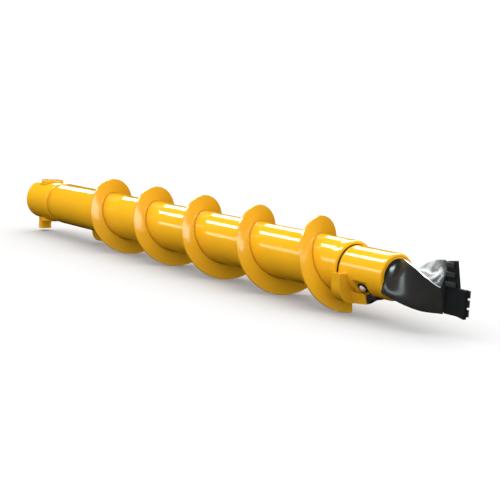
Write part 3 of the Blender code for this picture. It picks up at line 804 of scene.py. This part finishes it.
def add_seal():
    """The black ring in the joint."""
    made_object("seal", turned((
        (SEAL_START, RING_BORE_R, 0.0), (SEAL_END, RING_BORE_R, 0.0),
        (SEAL_END, SEAL_R, SEAL_ROUNDING), (SEAL_START, SEAL_R, SEAL_ROUNDING),
    )), ["seal_ring"], RUBBER)


def pocket_depth(inset):
    """Depth of the pocket at a distance inside its edge; the rim is slightly rounded."""
    for limit, depth in RIM_DEPTHS:
        if inset < limit:
            return depth
    return POCKET_DEPTH


def sleeve_profile():
    """Outline (x, radius) of the sleeve, with extra points at the pocket's edges."""
    groove_x = SLEEVE_END - LINER_GROOVE
    groove_r = LINER_R + LINER_GROOVE
    profile = rounded((
        (SLEEVE_START, PASSAGE_R, 0.0), (BORE_START, PASSAGE_R, 0.0), (BORE_START, BORE_R, 0.0),
        (SLEEVE_END, BORE_R, BORE_ROUNDING), (SLEEVE_END, LINER_R, 0.0),
        (groove_x, LINER_R, 0.0), (groove_x, groove_r, 0.0), (SLEEVE_END, groove_r, 0.0),
        (SLEEVE_END, SLEEVE_R, SLEEVE_END_ROUNDING),
        (SLEEVE_START, SLEEVE_R, SLEEVE_START_ROUNDING)), SLEEVE_ROUNDING_STEPS)
    middle = (SLEEVE_START + SLEEVE_END) / 2.0
    outer_start = max(k for k, (x, r) in enumerate(profile)
                      if abs(r - SLEEVE_R) < SAME_RADIUS and x > middle)
    places = [POCKET_START + place for place in RIM_PLACES]
    places += [POCKET_END - place for place in RIM_PLACES]
    places += [SLEEVE_START + SLEEVE_STEP_X * (k + 1) for k in range(SLEEVE_STEPS)]
    first = SLEEVE_START + SLEEVE_START_ROUNDING + SLEEVE_MARGIN
    last = SLEEVE_END - SLEEVE_END_ROUNDING - SLEEVE_MARGIN
    places = sorted((x for x in places if first < x < last), reverse=True)
    profile[outer_start + 1:outer_start + 1] = [(x, SLEEVE_R) for x in places]
    return profile


def sleeve_angles(degree_length):
    """Angles of the sleeve's sections, with extra ones at the pocket's edges."""
    rim = [POCKET_TOP_ANGLE + place / degree_length for place in RIM_PLACES]
    rim += [POCKET_LOW_ANGLE - place / degree_length for place in RIM_PLACES]
    even = [SLEEVE_STEP_ANGLE * k for k in range(int(360.0 / SLEEVE_STEP_ANGLE))]
    return sorted(rim + [angle for angle in even
                         if min(abs(angle - edge) for edge in rim) > RIM_CLEAR_ANGLE])


def add_sleeve():
    """The front sleeve with its pocket and the shallow groove in its mouth."""
    profile = sleeve_profile()
    degree_length = SLEEVE_R * math.pi / 180.0
    sections = []
    for degrees in sleeve_angles(degree_length):
        inset = min(degrees - POCKET_TOP_ANGLE, POCKET_LOW_ANGLE - degrees) * degree_length
        section = []
        for x, r in profile:
            depth = 0.0
            if r > SLEEVE_R - SAME_RADIUS:
                depth = pocket_depth(min(inset, x - POCKET_START, POCKET_END - x))
            section.append(around(x, r - depth, degrees))
        sections.append(section)
    made_object("sleeve", lofted(sections, ring=True), ["front_sleeve"], PAINT,
                sharp=40.0)


# Stop block with its arm
def arm_end(depth):
    """Where the arm's slanted end lies, at a depth below the axis."""
    return ARM_TOP_END + ARM_SLANT * (depth - ARM_SHELF) / (BLOCK_SIDE - ARM_TAPER - ARM_SHELF)


def arm_outline(near, low, lift):
    """Outline (y, depth) of the arm's kind of section: it hugs the sleeve under a shelf."""
    points = [(-near, ARM_SHELF)]
    for y, z in arc(HUG_R, SHELF_ANGLE, HEEL_ANGLE, ARM_HUG_STEPS):
        points.append((y * (1.0 + lift), -z * (1.0 + lift)))
    slant = (low - SLEEVE_R) / (ARM_LOW - SLEEVE_R)
    points.append((-ARM_HEEL_REACH - (ARM_REACH - ARM_WIDTH - ARM_HEEL_REACH) * slant, low))
    undercut = ARM_UNDERCUT * (low - ARM_SHELF) / (ARM_LOW - ARM_SHELF)
    points.append((undercut - near, low))
    return points


def add_block():
    """The thick block around the sleeve's lower side, in one piece with its arm; darkened as
    painted shade.
    """
    far_angle = 180.0 + math.degrees(math.asin(BLOCK_FAR_REACH / HUG_R))
    top_angle = 90.0 + math.degrees(math.asin(BLOCK_TOP_DROP / HUG_R))
    outline = arc(HUG_R, top_angle, far_angle, BLOCK_HUG_STEPS)
    outline.append((BLOCK_FAR_REACH, -BLOCK_SIDE))
    centre = BLOCK_CORNER - BLOCK_SIDE
    for y, z in reversed(arc(BLOCK_CORNER, 90.0, 180.0, BLOCK_CORNER_STEPS)):
        outline.append((centre + y, centre + z))
    outline.append((-BLOCK_SIDE, -BLOCK_TOP_DROP))
    block = made_object("block", prism(outline, BLOCK_START, BLOCK_END), ["stop_block"],
                        SHADED_PAINT)
    root = [(BLOCK_END - ARM_ROOT, y, -depth)
            for y, depth in arm_outline(ARM_REACH, ARM_LOW, 0.0)]
    end = [(arm_end(depth), y, -depth)
           for y, depth in arm_outline(ARM_REACH, BLOCK_SIDE - ARM_TAPER, 0.0)]
    merged(block, plain_object("arm", lofted([root, end])), "UNION", BLOCK_SHARP)
    bevelled(block, BLOCK_EDGE, BLOCK_SHARP)


# Lock and bolt
def add_lock():
    """The black piece in the pocket with the bolt's collar, and its ramp under the sleeve."""
    wedge = [[(arm_end(depth) + WEDGE_GAP, y, -depth)
              for y, depth in arm_outline(WEDGE_NEAR, WEDGE_LOW, WEDGE_LIFT)]]
    for along, low in ((WEDGE_LEVEL_END, WEDGE_LOW), (WEDGE_TIP_START, WEDGE_TIP),
                       (WEDGE_LENGTH, WEDGE_TIP)):
        x = arm_end(WEDGE_LOW) + WEDGE_GAP + along
        wedge.append([(x, y, -depth) for y, depth in arm_outline(WEDGE_NEAR, low, WEDGE_LIFT)])
    made_object("lock", joined([
        arc_block(LOCK_START, LOCK_END, LOCK_FLOOR_R, LOCK_HIGH_R, LOCK_TOP_ANGLE,
                  LOCK_LOW_ANGLE),
        radial(BOLT_X, BOLT_ANGLE, ((LOCK_FLOOR_R, COLLAR_R), (LOCK_HIGH_R - COLLAR_EDGE, COLLAR_R),
                                    (LOCK_HIGH_R, COLLAR_TOP_R))),
        arc_block(arm_end(SLEEVE_R) + WEDGE_GAP, LOCK_END, BRIDGE_INNER_R, BRIDGE_OUTER_R,
                  SHELF_ANGLE + BRIDGE_ANGLE_GAP, LOCK_LOW_ANGLE),
        lofted(wedge),
    ]), ["lock_wedge"], STEEL, sharp=20.0)


def add_bolt():
    """The round, domed head of the bolt, made near-white as a painted highlight."""
    foot = LOCK_HIGH_R + GAP
    levels = [(foot, BOLT_R)]
    for k in range(BOLT_DOME_STEPS):
        angle = math.radians(BOLT_DOME_ANGLE * k)
        levels.append((foot + BOLT_SIDE + (BOLT_RISE - BOLT_SIDE) * math.sin(angle),
                       BOLT_R * math.cos(angle)))
    made_object("bolt", radial(BOLT_X, BOLT_ANGLE, levels), ["lock_bolt"],
                BOLT_HIGHLIGHT, sharp=50.0)


# Bit
def wing_section(offset):
    """Two wings, each with a bulged face, chamfered edges and a hollow flute behind it."""
    bulge = smooth_value(FACE_BULGE, offset)
    peak = smooth_value(FACE_PEAK, offset)
    hollow = smooth_value(FLUTE_HOLLOW, offset)
    chamfer = smooth_value(LEAD_CHAMFER, offset)
    corners = []
    for turn, reach in ((0.0, NEAR_REACH), (180.0, FAR_REACH)):
        corners.append(around(0.0, smooth_value(LEAD_REACH, offset),
                              smooth_value(LEAD_ANGLE, offset) + turn)[1:])
        corners.append(around(0.0, smooth_value(reach, offset),
                              smooth_value(TRAIL_ANGLE, offset) + turn)[1:])
    section = []
    for wing in range(2):
        lead = corners[2 * wing]
        trail = corners[2 * wing + 1]
        after = corners[(2 * wing + 2) % 4]
        face = bowed(lead, trail, -bulge, FACE_POINTS, peak)
        flute = bowed(trail, after, hollow, FLUTE_POINTS)
        section.append(toward(lead, face[0], chamfer))
        section += face[1:-1]
        section.append(toward(trail, face[-1], TRAIL_CHAMFER))
        section.append(toward(trail, flute[0], TRAIL_CHAMFER))
        section += flute[1:-1]
        section.append(toward(after, flute[-1], chamfer))
    return [(BIT_START + offset, y, z) for y, z in section]


def add_bit():
    """The twisted bar; its flutes are a lighter grey and its leading chamfers pale as a painted
    highlight.
    """
    bit = made_object("bit", lofted([
        wing_section(BIT_LENGTH * k / BIT_STEPS) for k in range(BIT_STEPS + 1)
    ]), ["bit_body"], STEEL, sharp=28.0)
    for extra in (FLUTE, EDGE_HIGHLIGHT):
        bit.data.materials.append(extra)
    flute_index, highlight_index = 1, 2
    wing_faces = FACE_POINTS + FLUTE_POINTS
    for face in bit.data.polygons[:BIT_STEPS * 2 * wing_faces]:
        place = face.index % wing_faces
        if place >= FACE_POINTS:
            face.material_index = flute_index
        # Faces of the leading chamfer get the painted highlight.
        if place == wing_faces - 1:
            face.material_index = highlight_index


# Cutting head
def add_plate(name, outline, sides, node_name, look):
    """A flat plate between two sides in y, whose outline is given as (x, z) points."""
    bevelled(made_object(name, lofted([
        [(x, y, z) for x, z in outline] for y in sides
    ]), [node_name], look), HEAD_EDGE)


def add_head():
    """Two blades and their teeth."""
    upper_low = BLADE_SPLIT + BLADE_PLAY
    upper_top = BLADE_SPLIT + UPPER_HEIGHT
    upper_end = HEAD_X + UPPER_REACH
    lower_top = BLADE_SPLIT - BLADE_PLAY
    lower_low = BLADE_SPLIT - LOWER_HEIGHT
    lower_end = HEAD_X + LOWER_REACH
    add_plate("blade_upper", (
        (HEAD_X, upper_low), (upper_end, upper_low), (upper_end - UPPER_LEAN, upper_top),
        (HEAD_X, upper_top - UPPER_FALL)), UPPER_SIDES, "upper_blade", HEAD)
    add_plate("blade_lower", (
        (HEAD_X, lower_low), (HEAD_X + LOWER_STEP_REACH, lower_low),
        (lower_end - LOWER_LEAN, lower_low - LOWER_DROP), (lower_end, lower_top),
        (HEAD_X, lower_top)), LOWER_SIDES, "lower_blade", HEAD)
    for number in range(TOOTH_COUNT):
        start = HEAD_X + UPPER_TOOTH_START
        top = upper_top - UPPER_TOOTH_DROP - UPPER_TOOTH_PITCH * number
        low = top - UPPER_TOOTH_HEIGHT
        tip = upper_end - UPPER_LEAN * (top - upper_low) / UPPER_HEIGHT - UPPER_TOOTH_SETBACK
        add_plate("tooth_upper_%d" % (number + 1),
                  ((start, low), (tip, low), (tip, top), (start, top)),
                  UPPER_TOOTH_SIDES, "upper_tooth_%d" % (number + 1), TOOTH)
        low = lower_low + LOWER_TOOTH_RISE + LOWER_TOOTH_PITCH * number
        top = low + LOWER_TOOTH_HEIGHT
        tip = lower_end - LOWER_LEAN * (lower_top - low) / LOWER_HEIGHT + LOWER_TOOTH_LEAD
        start = tip - LOWER_TOOTH_LENGTH
        add_plate("tooth_lower_%d" % (number + 1),
                  ((start, low), (tip, low), (tip, top), (start, top)),
                  LOWER_TOOTH_SIDES, "lower_tooth_%d" % (number + 1), TOOTH)


# Stage
def add_floor():
    """A wide pale floor just under the screw."""
    level = box_before[0][2] - FLOOR_DROP
    places = [FLOOR_HALF * (2.0 * k / FLOOR_CELLS - 1.0) for k in range(FLOOR_CELLS + 1)]
    mesh_data = bmesh.new()
    rows = [[mesh_data.verts.new((x, y, level)) for y in places] for x in places]
    for i in range(FLOOR_CELLS):
        for j in range(FLOOR_CELLS):
            mesh_data.faces.new((rows[i][j], rows[i + 1][j], rows[i + 1][j + 1], rows[i][j + 1]))
    floor = scene_object("floor", mesh_data)
    look, tree, shader = shader_of("pale_floor")
    place = add(tree, "ShaderNodeTexCoord").outputs["Object"]
    dark, light = ((tone, tone, tone) for tone in FLOOR_TONES)
    patches = noise_node(tree, place, scale=0.8, detail=3.0)
    tree.links.new(blended(tree, patches, dark, light), shader.inputs["Base Color"])
    shader.inputs["Roughness"].default_value = 0.9
    shader.inputs["Specular IOR Level"].default_value = 0.0
    floor.data.materials.append(look)
    floor.visible_diffuse = False
    floor.visible_glossy = False


def add_strip_light(name, degrees, width, start, power):
    """A long soft box parallel to the screw, at an angle around it (0 is straight up)."""
    data = bpy.data.lights.new(name, "AREA")
    data.shape = "RECTANGLE"
    data.size = STRIP_END - start
    data.size_y = width
    data.energy = power
    lamp = bpy.data.objects.new(name, data)
    scene.collection.objects.link(lamp)
    centre = Vector(around((start + STRIP_END) / 2.0, STRIP_DISTANCE, degrees))
    lamp.matrix_world = Matrix.Translation(centre) @ Matrix.Rotation(
        math.radians(degrees), 4, "X")
    lamp.visible_camera = False
    lamp.visible_diffuse = False


def add_sky():
    """Even white light from above the horizon, which the gloss doesn't mirror."""
    world = bpy.data.worlds.new("studio")
    scene.world = world
    world.use_nodes = True
    world.cycles_visibility.glossy = False
    tree = world.node_tree
    background = tree.nodes["Background"]
    background.inputs["Color"].default_value = (1.0, 1.0, 1.0, 1.0)
    direction = add(tree, "ShaderNodeSeparateXYZ")
    tree.links.new(add(tree, "ShaderNodeTexCoord").outputs["Generated"], direction.inputs[0])
    tree.links.new(remap(tree, direction.outputs["Z"], SKY_EDGE, (0.0, SKY_STRENGTH)),
                   background.inputs["Strength"])


def add_camera():
    """The camera, in front of the bit and a little above the screw."""
    azimuth = math.radians(CAMERA_AZIMUTH)
    elevation = math.radians(CAMERA_ELEVATION)
    roll = math.radians(CAMERA_ROLL)
    back = Vector((math.sin(azimuth) * math.cos(elevation),
                   -math.cos(azimuth) * math.cos(elevation), math.sin(elevation)))
    level_right = Vector((math.cos(azimuth), math.sin(azimuth), 0.0))
    level_up = back.cross(level_right)
    right = math.cos(roll) * level_right + math.sin(roll) * level_up
    up = -math.sin(roll) * level_right + math.cos(roll) * level_up
    data = bpy.data.cameras.new("camera")
    data.lens = CAMERA_LENS_MM
    data.sensor_width = CAMERA_SENSOR_MM
    data.clip_end = CAMERA_CLIP_END
    camera = bpy.data.objects.new("camera", data)
    scene.collection.objects.link(camera)
    camera.matrix_world = Matrix((
        (right.x, up.x, back.x, CAMERA_PLACE[0]),
        (right.y, up.y, back.y, CAMERA_PLACE[1]),
        (right.z, up.z, back.z, CAMERA_PLACE[2]),
        (0.0, 0.0, 0.0, 1.0),
    ))
    scene.camera = camera


add_coupling()
add_boss(1.0, "pin_boss_top")
add_boss(-1.0, "pin_boss_bottom")
add_lug()
add_neck()
add_stem()
add_flight()
add_flight_weld(-1.0, "flight_weld_back")
add_flight_weld(1.0, "flight_weld_front")
add_shoulder()
add_seal()
add_sleeve()
add_block()
add_lock()
add_bolt()
add_bit()
add_head()

add_floor()
add_strip_light("strip_far", degrees=-41.0, width=1.9, start=-10.6, power=1578.0)
add_strip_light("strip_top", degrees=14.8, width=0.95, start=-4.6, power=1455.0)
add_strip_light("strip_near", degrees=68.8, width=0.95, start=-4.4, power=327.0)
add_sky()
add_camera()
scene.view_settings.view_transform = "Standard"
scene.view_settings.look = "None"

bpy.context.view_layer.update()
